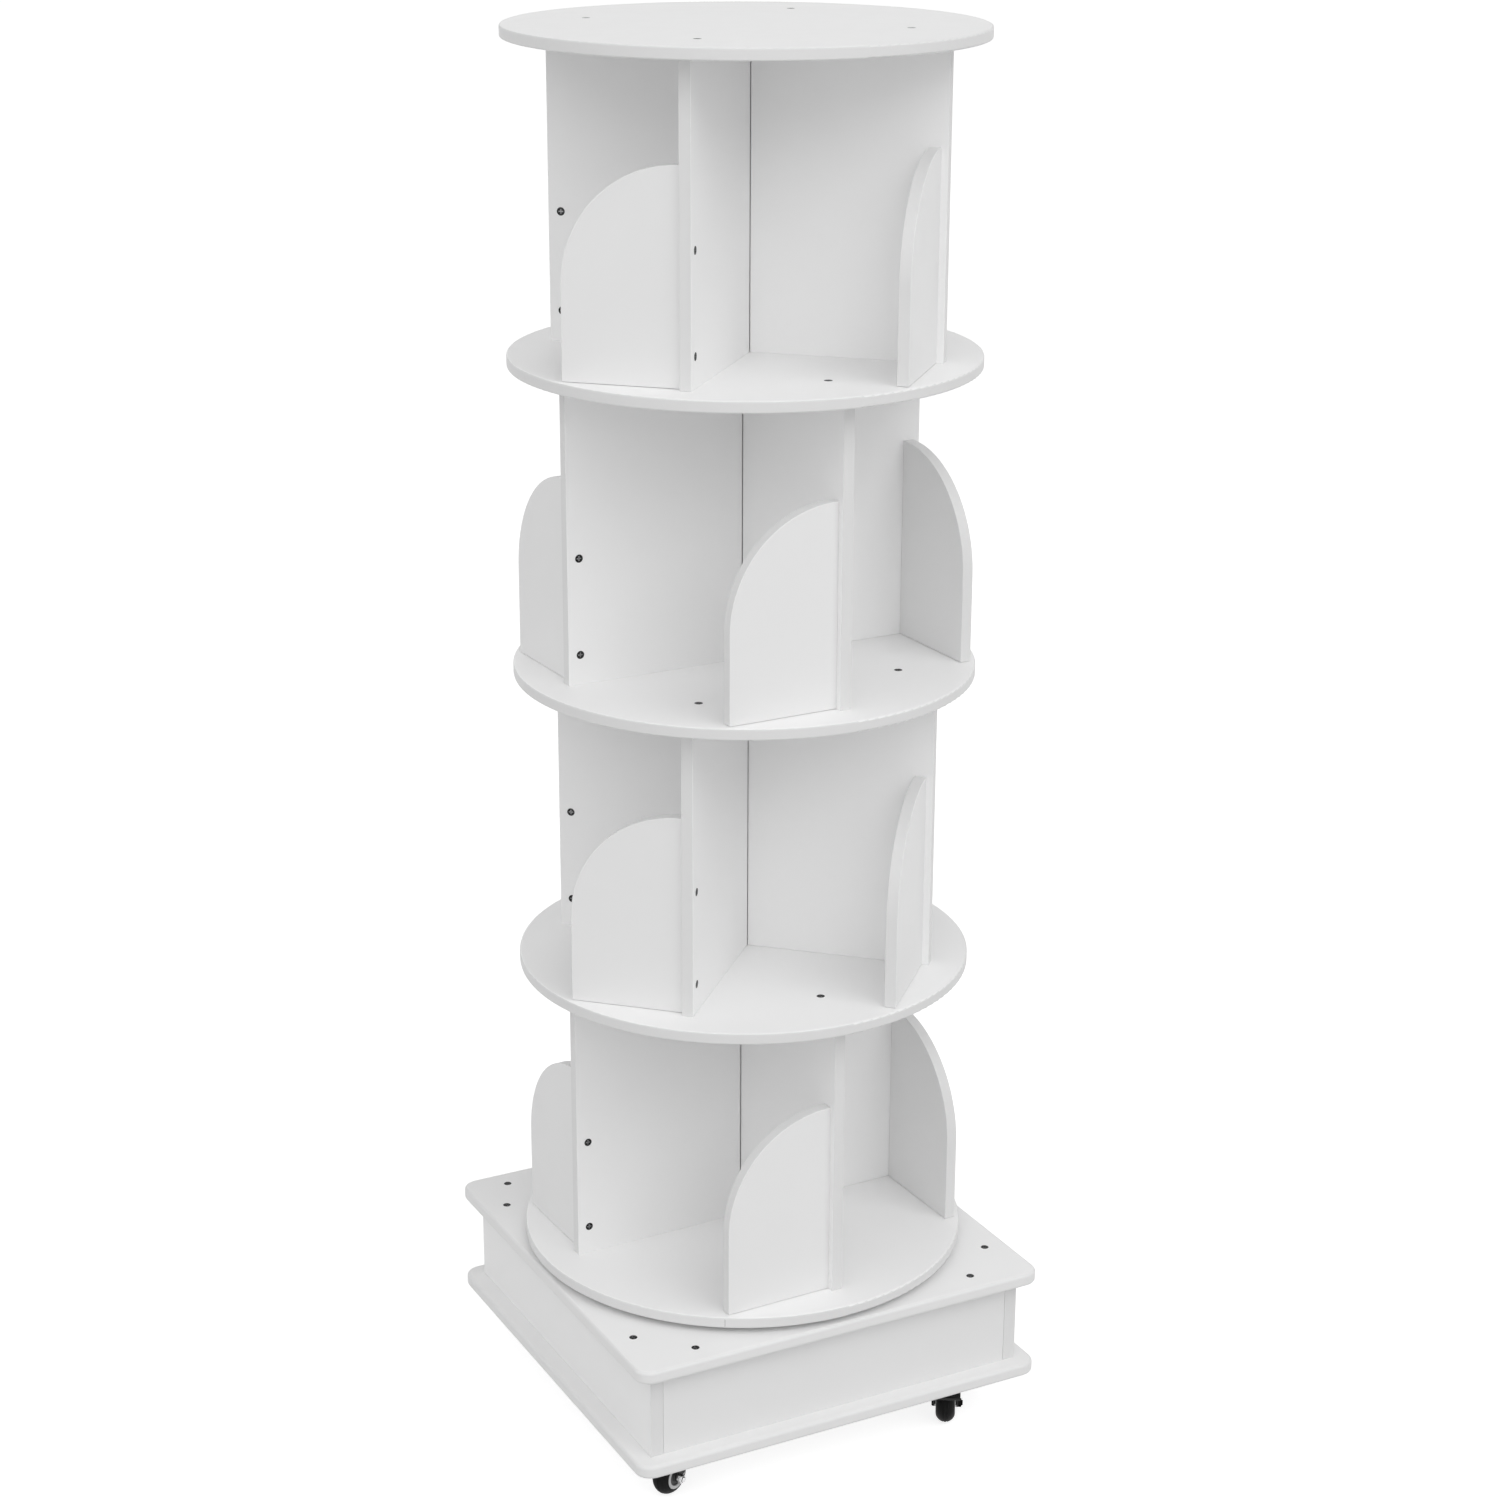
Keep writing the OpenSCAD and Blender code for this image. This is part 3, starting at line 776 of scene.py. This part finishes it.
class BOOKCASE_OT_discs(bpy.types.Operator):
    """Laminate on the five discs, and the seams of their edge bands"""

    bl_idname = "bookcase.discs"
    bl_label = "Discs"

    SEAM_TURNS = (-121.8, 68.0, 37.0, 84.0, 52.0)
    SEAM_DEPTH = 0.0004
    SEAM_PROUD = 0.00002
    SEAM_COLOUR = (0.3, 0.3, 0.3)
    RIM_FLAT = 0.0068

    def execute(self, context):
        boards = settings().boards
        finish = laminate("White laminate, discs", boards.colour, upright_band, boards.band_colour)
        # The top disc gets the darker copy of the laminate as painted shade
        top = laminate("White laminate with painted shade, top disc", boards.painted_shade_colour, upright_band, boards.band_colour)
        joint_line = band_joint("Edge band joint", self.SEAM_COLOUR)
        for name, turn in zip(DISCS, self.SEAM_TURNS):
            dress(NODES[name], top if name == "top_disc" else finish)
            self.seam(name, turn, boards.seam_width, joint_line)
        return {"FINISHED"}

    def seam(self, name, turn, width, finish):
        """Fine strip on the rim where the edge band meets itself."""
        low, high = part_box(name)
        radius = (high.x - low.x) / 2 + self.SEAM_PROUD
        middle = (low.z + high.z) / 2
        shape = bmesh.new()
        bmesh.ops.create_cube(shape, size=1.0)
        size = Matrix.Diagonal((self.SEAM_DEPTH, width, self.RIM_FLAT, 1.0))
        shape.transform(Matrix.Translation((radius - self.SEAM_DEPTH / 2, 0.0, middle)) @ size)
        piece = mesh_piece(f"{name}_band_seam", shape, finish)
        place(piece, Matrix.Rotation(math.radians(turn), 4, "Z"), "carousel", "white_board")


class BOOKCASE_OT_panels(bpy.types.Operator):
    """Laminate and softened edges on the sixteen upright panels"""

    bl_idname = "bookcase.panels"
    bl_label = "Panels"

    def execute(self, context):
        boards = settings().boards
        finish = laminate("White laminate, panels", boards.colour, marked_band, boards.band_colour)
        marks = edge_marks(PANEL_SHORTEST)
        for name in PANELS:
            soften(NODES[name], finish, boards.panel_edge, marks)
        return {"FINISHED"}


class BOOKCASE_OT_book_stops(bpy.types.Operator):
    """Laminate darkened as painted shade, and softened edges, on the sixteen arched book stops"""

    bl_idname = "bookcase.book_stops"
    bl_label = "Book stops"

    def execute(self, context):
        boards = settings().boards
        # The book stops get the darker copy of the laminate as painted shade
        finish = laminate("White laminate with painted shade, book stops", boards.painted_shade_colour, marked_band, boards.band_colour)
        marks = edge_marks(PANEL_SHORTEST)
        for name in BOOK_STOPS:
            soften(NODES[name], finish, boards.panel_edge, marks)
        return {"FINISHED"}


class BOOKCASE_OT_base(bpy.types.Operator):
    """Laminate, partly darkened as painted shade, and softened edges on the boards of the base"""

    bl_idname = "bookcase.base"
    bl_label = "Base boards"

    DECK_SEGMENTS = 4

    def execute(self, context):
        boards = settings().boards
        # The rims of the top and bottom take the darker front colour over their rounded edges too: an edge
        # band, with painted shade that dulls the edges' highlight
        rim, band = boards.front_shade_colour, boards.band_colour
        top = laminate("White laminate with painted-shade rim, base top", boards.colour, rounded_band, rim)
        bottom = laminate("White laminate with painted shade, base bottom", boards.bottom_shade_colour, rounded_band, rim)
        sides = laminate("White laminate, base sides", boards.colour, marked_band, band)
        ends = laminate("White laminate with painted shade, base ends", boards.front_shade_colour, marked_band, band)
        marks = edge_marks(BASE_SHORTEST)
        for name, finish in (("top", top), ("bottom", bottom)):
            soften(NODES[f"base_{name}_board"], finish, boards.base_edge, marks, self.DECK_SEGMENTS)
        for name, finish in (("left", sides), ("right", sides), ("front", ends), ("back", ends)):
            soften(NODES[f"base_{name}_board"], finish, boards.panel_edge, marks)
        return {"FINISHED"}


class BOOKCASE_OT_screws(bpy.types.Operator):
    """Dark zinc on the screws, with a painted glint in their recesses"""

    bl_idname = "bookcase.screws"
    bl_label = "Screws"

    def execute(self, context):
        colours = settings().metal
        finish = metal(
            "Dark zinc, screws",
            colours.screw_colour,
            roughness=0.34,
            streak=STREAKS_UP,
            hollow_light_and_shade=colours.recess_glint_colour,
        )
        for name in SCREWS:
            dress(NODES[name], finish)
        return {"FINISHED"}


class BOOKCASE_OT_turntable(bpy.types.Operator):
    """Bright zinc on the turntable's plates and balls"""

    bl_idname = "bookcase.turntable"
    bl_label = "Turntable"

    def execute(self, context):
        colours = settings().metal
        finish = metal(
            "Bright zinc, turntable", colours.turntable_colour, roughness=0.32, streak=STREAKS_ACROSS
        )
        for name in TURNTABLE:
            dress(NODES[name], finish)
        weld(NODES["turntable_balls"])
        return {"FINISHED"}


class BOOKCASE_OT_dowels(bpy.types.Operator):
    """Raw beech on the dowels"""

    bl_idname = "bookcase.dowels"
    bl_label = "Dowels"

    def execute(self, context):
        dress(NODES["panel_dowels"], raw_beech("Raw beech, dowels", settings().metal.dowel_colour))
        return {"FINISHED"}


class BOOKCASE_OT_caster_frames(bpy.types.Operator):
    """Black paint and rounded edges on caster plates and forks"""

    bl_idname = "bookcase.caster_frames"
    bl_label = "Caster plates and forks"

    def execute(self, context):
        casters = settings().casters
        paint = moulded(
            "Black paint, casters",
            casters.paint_colour,
            roughness=0.36,
            grain=1200.0,
            depth=0.00005,
            gloss=0.3,
        )
        marks = edge_marks(CASTER_SHORTEST)
        for name in ("caster_plates", *(f"{corner}_caster_fork" for corner in CASTERS)):
            soften(NODES[name], paint, casters.press_edge, marks)
        return {"FINISHED"}


class BOOKCASE_OT_tyres(bpy.types.Operator):
    """Black rubber tyres of the four casters"""

    bl_idname = "bookcase.tyres"
    bl_label = "Tyres"

    CROWN_START = 73.0
    CROWN_END = 14.0
    CROWN_STEPS = 20
    WALL_STEP = 0.00025
    WALL_LEDGE = 0.0003
    GROOVE_SIDE = 0.00022
    GROOVE_DEPTH = 0.0003
    RIDGE_DROP = 0.0001
    RIDGE_FLAT = 0.3
    TYRE_SMOOTH = 40.0

    def execute(self, context):
        rubber = moulded(
            "Black rubber, tyres",
            settings().casters.tyre_colour,
            roughness=0.5,
            grain=2600.0,
            depth=0.00006,
            gloss=0.1,
        )
        for corner in CASTERS:
            piece = self.tyre(f"{corner}_tyre", rubber)
            place(piece, wheel_matrix(corner), f"{corner}_wheel", "tyre_black", f"{corner}_caster_tyre")
        return {"FINISHED"}

    def tyre(self, name, finish):
        """Round-crowned tyre with a stepped side wall, and a ridge between two fine grooves."""
        round_side = crown(self.CROWN_START, self.CROWN_END, self.CROWN_STEPS)
        wall = round_side[0][1] - self.WALL_STEP
        top, edge = round_side[-1]
        floor = top - self.GROOVE_DEPTH
        side = self.GROOVE_SIDE
        # A groove's floor is as wide as its two sloping sides together
        floor_end = edge - 3 * side
        ridge = edge - 4 * side
        upper = [
            (HUB_R, wall),
            (HUB_R + self.WALL_LEDGE, wall),
            *round_side,
            (floor, edge - side),
            (floor, floor_end),
            (TYRE_R - self.RIDGE_DROP, ridge),
            (TYRE_R, self.RIDGE_FLAT * edge),
        ]
        return turned(name, upper, finish, self.TYRE_SMOOTH)


class BOOKCASE_OT_hubs(bpy.types.Operator):
    """Grey rings and dark dished faces of the four wheel hubs"""

    bl_idname = "bookcase.hubs"
    bl_label = "Hubs"

    RING_IN = 0.0083
    RING_START = 89.0
    RING_END = 78.0
    RING_STEPS = 8
    RING_LIP = 0.0004

    # Points of the face, as steps outward and down from its boss or in and down from its edge
    BORE_R = 0.00255
    BOSS_R = 0.0045
    BOSS_HALF = 0.0094
    BOSS_CHAMFER = 0.0004
    NECK_OUT = 0.0003
    NECK_DROP = 0.0016
    DISH_OUT = 0.0011
    DISH_DROP = 0.002
    BEAD_FOOT = 0.001
    BEAD_FOOT_DROP = 0.0022
    BEAD_SIDE = 0.0004
    BEAD_SIDE_DROP = 0.0018
    BEAD_TOP_DROP = 0.0014

    def execute(self, context):
        casters = settings().casters
        plastic = {"roughness": 0.42, "grain": 1800.0, "depth": 0.00003}
        grey = moulded("Grey plastic, hub rings", casters.ring_colour, **plastic)
        dark = moulded("Dark plastic, hub faces", casters.dish_colour, **plastic)
        for corner in CASTERS:
            ring = self.hub_ring(f"{corner}_hub_ring", grey)
            face = self.hub_face(f"{corner}_hub_face", dark)
            for piece in (ring, face):
                place(piece, wheel_matrix(corner), f"{corner}_wheel", "hub_grey", f"{corner}_caster_hub")
        return {"FINISHED"}

    def hub_ring(self, name, finish):
        """Grey ring between tyre and face, round like the tyre and with chamfered lips."""
        lip = self.RING_LIP
        shoulder = crown(self.RING_START, self.RING_END, self.RING_STEPS)
        upper = [(self.RING_IN, TYRE_HALF - lip), *shoulder, (HUB_R, shoulder[-1][1] - lip)]
        return turned(name, upper, finish)

    def hub_face(self, name, finish):
        """Dark dished face with a boss in its middle and a bead along its edge."""
        boss, half, edge = self.BOSS_R, self.BOSS_HALF, self.RING_IN
        upper = [
            (self.BORE_R, half),
            (boss - self.BOSS_CHAMFER, half),
            (boss, half - self.BOSS_CHAMFER),
            (boss + self.NECK_OUT, half - self.NECK_DROP),
            (boss + self.DISH_OUT, half - self.DISH_DROP),
            (edge - self.BEAD_FOOT, half - self.BEAD_FOOT_DROP),
            (edge - self.BEAD_SIDE, half - self.BEAD_SIDE_DROP),
            (edge, half - self.BEAD_TOP_DROP),
        ]
        return turned(name, upper, finish)


class BOOKCASE_OT_axle_bolts(bpy.types.Operator):
    """Axle bolts of the four casters; on the braked ones they are low, and painted black as shade"""

    bl_idname = "bookcase.axle_bolts"
    bl_label = "Axle bolts"

    LEG_OUT = 0.0115
    BOLT_R = 0.0025
    BOLT_STEPS = 32
    BOLT_END = 0.0012
    BOLT_CHAMFER = 0.0005
    THREAD = 0.0004
    THREAD_DEPTH = 0.0002
    HEAD_R = 0.004
    HEAD_H = 0.0022
    NUT_H = 0.0045
    LOW_HEAD_H = 0.0013
    LOW_NUT_H = 0.003
    CORNER_CUT = 0.0005
    CORNER_IN = 0.84
    # Painted shade: a darker colour in the hollows of the bright bolts
    HOLLOW_SHADE = (0.3, 0.3, 0.3)

    def execute(self, context):
        casters = settings().casters
        zinc = metal(
            "Bright zinc, axle bolts",
            casters.bolt_colour,
            roughness=0.24,
            streak=STREAKS_UP,
            hollow_light_and_shade=self.HOLLOW_SHADE,
        )
        # Painted shade: the braked casters' bolts are the same zinc, painted black and dull at a glance as
        # if in shade
        black = metal(
            "Zinc with painted shade, braked axle bolts",
            casters.paint_colour,
            roughness=0.4,
            streak=STREAKS_UP,
            glance=0.1,
        )
        for corner in CASTERS:
            name = f"{corner}_axle_bolt"
            if corner in BRAKED_CASTERS:
                piece = self.bolt(name, black, self.LOW_HEAD_H, self.LOW_NUT_H)
            else:
                piece = self.bolt(name, zinc, self.HEAD_H, self.NUT_H)
            place(piece, wheel_matrix(corner), f"{corner}_swivel", "axle_steel", f"{corner}_caster_axle")
        return {"FINISHED"}

    def bolt(self, name, finish, head, nut):
        """Hexagon bolt through the fork, with a nut and a short grooved end on one side."""
        out, r, step = self.LEG_OUT, self.BOLT_R, self.THREAD
        nut_top = out + nut
        outline = [
            (r, -out - head / 2),
            (r, nut_top),
            (r - self.THREAD_DEPTH, nut_top + step),
            (r, nut_top + 2 * step),
            (r - self.BOLT_CHAMFER, nut_top + self.BOLT_END),
        ]
        shape = bmesh.new()
        lathe(shape, outline, self.BOLT_STEPS, closed=False)
        self.hexagon(shape, -out, -out - head)
        self.hexagon(shape, out, nut_top)
        return mesh_piece(name, shape, finish)

    def hexagon(self, shape, start, end):
        """Six-sided head or nut along the axle, with its corners cut back at its end."""
        r, cut = self.HEAD_R, math.copysign(self.CORNER_CUT, end - start)
        outline = [(r, start), (r, end - cut), (r * self.CORNER_IN, end)]
        lathe(shape, outline, 6, closed=False)


class BOOKCASE_OT_brake_pedals(bpy.types.Operator):
    """Moulded black plastic and rounded edges on the two brake pedals"""

    bl_idname = "bookcase.brake_pedals"
    bl_label = "Brake pedals"

    def execute(self, context):
        casters = settings().casters
        finish = moulded(
            "Black plastic, pedals",
            casters.paint_colour,
            roughness=0.42,
            grain=1500.0,
            depth=0.00008,
            gloss=0.3,
        )
        marks = edge_marks(CASTER_SHORTEST)
        for corner in BRAKED_CASTERS:
            soften(NODES[f"{corner}_caster_brake_pedal"], finish, casters.press_edge, marks)
        return {"FINISHED"}


class BOOKCASE_OT_stage(bpy.types.Operator):
    """Pale floor, even studio light and the camera"""

    bl_idname = "bookcase.stage"
    bl_label = "Stage"

    FLOOR_HALF = 30.0
    FLOOR_GLOW = 0.8
    FLOOR_SHADOW = (0.45, 0.45, 0.45, 1.0)
    WHITE = (1.0, 1.0, 1.0, 1.0)
    KEY_PLACE = Vector((-3.27, -6.29, 6.16))
    RIGHT_PLACE = Vector((2.43, -5.88, 6.98))
    LEFT_PLACE = Vector((-6.21, -1.38, 6.98))
    LAMP_SIDE = 6.0
    LAMP_TARGET = Vector((0.0, 0.0, 0.62))
    SENSOR = 36.0

    def execute(self, context):
        stage = settings().stage
        self.floor(stage)
        self.world(stage)
        self.lamp("Key lamp", self.KEY_PLACE, stage.key_power)
        self.lamp("Right lamp", self.RIGHT_PLACE, stage.right_power)
        self.lamp("Left lamp", self.LEFT_PLACE, stage.left_power)
        self.camera(stage)
        context.scene.view_settings.view_transform = "Standard"
        return {"FINISHED"}

    def seen_directly(self, tree):
        """1 for camera, glossy and transmission rays, else 0."""
        path = tree.nodes.new("ShaderNodeLightPath")
        total = path.outputs["Is Camera Ray"]
        for name in ("Is Glossy Ray", "Is Transmission Ray"):
            most = tree.nodes.new("ShaderNodeMath")
            most.operation = "MAXIMUM"
            tree.links.new(total, most.inputs[0])
            tree.links.new(path.outputs[name], most.inputs[1])
            total = most.outputs[0]
        return total

    def pick(self, tree, lighting, seen, output):
        """Lights the scene with one shader and shows another where it is seen directly."""
        made = tree.nodes.new("ShaderNodeMixShader")
        out = tree.nodes.new(output)
        tree.links.new(self.seen_directly(tree), made.inputs[0])
        tree.links.new(lighting.outputs[0], made.inputs[1])
        tree.links.new(seen.outputs[0], made.inputs[2])
        tree.links.new(made.outputs[0], out.inputs["Surface"])

    def floor(self, stage):
        """White floor that keeps a soft shadow."""
        half = self.FLOOR_HALF
        corners = ((-half, -half), (half, -half), (half, half), (-half, half))
        shape = bmesh.new()
        shape.faces.new([shape.verts.new((x, y, 0.0)) for x, y in corners])
        mesh_piece("Floor", shape, self.floor_finish(stage))

    def floor_finish(self, stage):
        """Finish that sends light back by the floor's colour, and is seen as a glow with a faint shadow."""
        finish = bpy.data.materials.new("Pale floor")
        finish.use_nodes = True
        tree = finish.node_tree
        tree.nodes.clear()
        bounce = add_node(tree, "ShaderNodeBsdfDiffuse", Color=(*stage.floor_colour, 1.0))
        shadow = add_node(tree, "ShaderNodeBsdfDiffuse", Color=self.FLOOR_SHADOW)
        glow = add_node(tree, "ShaderNodeEmission", Strength=self.FLOOR_GLOW)
        both = tree.nodes.new("ShaderNodeAddShader")
        tree.links.new(shadow.outputs[0], both.inputs[0])
        tree.links.new(glow.outputs[0], both.inputs[1])
        self.pick(tree, bounce, both, "ShaderNodeOutputMaterial")
        return finish

    def world(self, stage):
        """Soft light all round, weaker from above, and seen as white."""
        world = bpy.data.worlds.new("Studio")
        bpy.context.scene.world = world
        world.use_nodes = True
        tree = world.node_tree
        tree.nodes.clear()
        even = add_node(tree, "ShaderNodeBackground", Color=self.WHITE)
        white = add_node(tree, "ShaderNodeBackground", Color=self.WHITE, Strength=1.0)
        fade = ramp(tree, upward(tree, "Generated"), 0.0, 1.0, stage.ambient, stage.overhead)
        tree.links.new(fade, even.inputs["Strength"])
        self.pick(tree, even, white, "ShaderNodeOutputWorld")

    def lamp(self, name, where, power):
        """Large soft lamp that faces the bookcase from far off."""
        data = bpy.data.lights.new(name, "AREA")
        data.size = self.LAMP_SIDE
        data.energy = power
        lamp = bpy.data.objects.new(name, data)
        lamp.location = where
        lamp.rotation_euler = (self.LAMP_TARGET - where).to_track_quat("-Z", "Y").to_euler()
        lamp.visible_camera = False
        bpy.context.scene.collection.objects.link(lamp)

    def camera(self, stage):
        """Camera at the photograph's viewing angle."""
        data = bpy.data.cameras.new("Camera")
        data.sensor_width = self.SENSOR
        data.lens = stage.camera_lens
        data.shift_y = stage.camera_rise
        camera = bpy.data.objects.new("Camera", data)
        camera.location = stage.camera_place
        camera.rotation_euler = stage.camera_turn
        bpy.context.scene.collection.objects.link(camera)
        bpy.context.scene.camera = camera


class BOOKCASE_PT_panel(bpy.types.Panel):
    """Steps and settings of the bookcase"""

    bl_idname = "BOOKCASE_PT_panel"
    bl_label = "Revolving bookcase"
    bl_space_type = "VIEW_3D"
    bl_region_type = "UI"
    bl_category = "Bookcase"

    def draw(self, context):
        layout = self.layout
        for step in STEPS:
            layout.operator(step.bl_idname)
        for group in ("boards", "metal", "casters", "stage"):
            box = layout.box()
            box.label(text=group.capitalize())
            owner = getattr(context.scene.bookcase, group)
            for name in owner.__annotations__:
                box.prop(owner, name)


STEPS = (
    BOOKCASE_OT_discs,
    BOOKCASE_OT_panels,
    BOOKCASE_OT_book_stops,
    BOOKCASE_OT_base,
    BOOKCASE_OT_screws,
    BOOKCASE_OT_turntable,
    BOOKCASE_OT_dowels,
    BOOKCASE_OT_caster_frames,
    BOOKCASE_OT_tyres,
    BOOKCASE_OT_hubs,
    BOOKCASE_OT_axle_bolts,
    BOOKCASE_OT_brake_pedals,
    BOOKCASE_OT_stage,
)
CLASSES = (
    BoardSettings,
    MetalSettings,
    CasterSettings,
    StageSettings,
    BookcaseSettings,
    *STEPS,
    BOOKCASE_PT_panel,
)


def register():
    """Adds the classes and the scene's settings."""
    for cls in CLASSES:
        bpy.utils.register_class(cls)
    bpy.types.Scene.bookcase = PointerProperty(type=BookcaseSettings)


def unregister():
    """Takes the settings and the classes away again."""
    del bpy.types.Scene.bookcase
    for cls in reversed(CLASSES):
        bpy.utils.unregister_class(cls)


def main():
    """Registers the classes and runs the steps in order."""
    register()
    for step in STEPS:
        getattr(bpy.ops.bookcase, step.bl_idname.split(".")[1])()


if __name__ == "__main__":
    main()
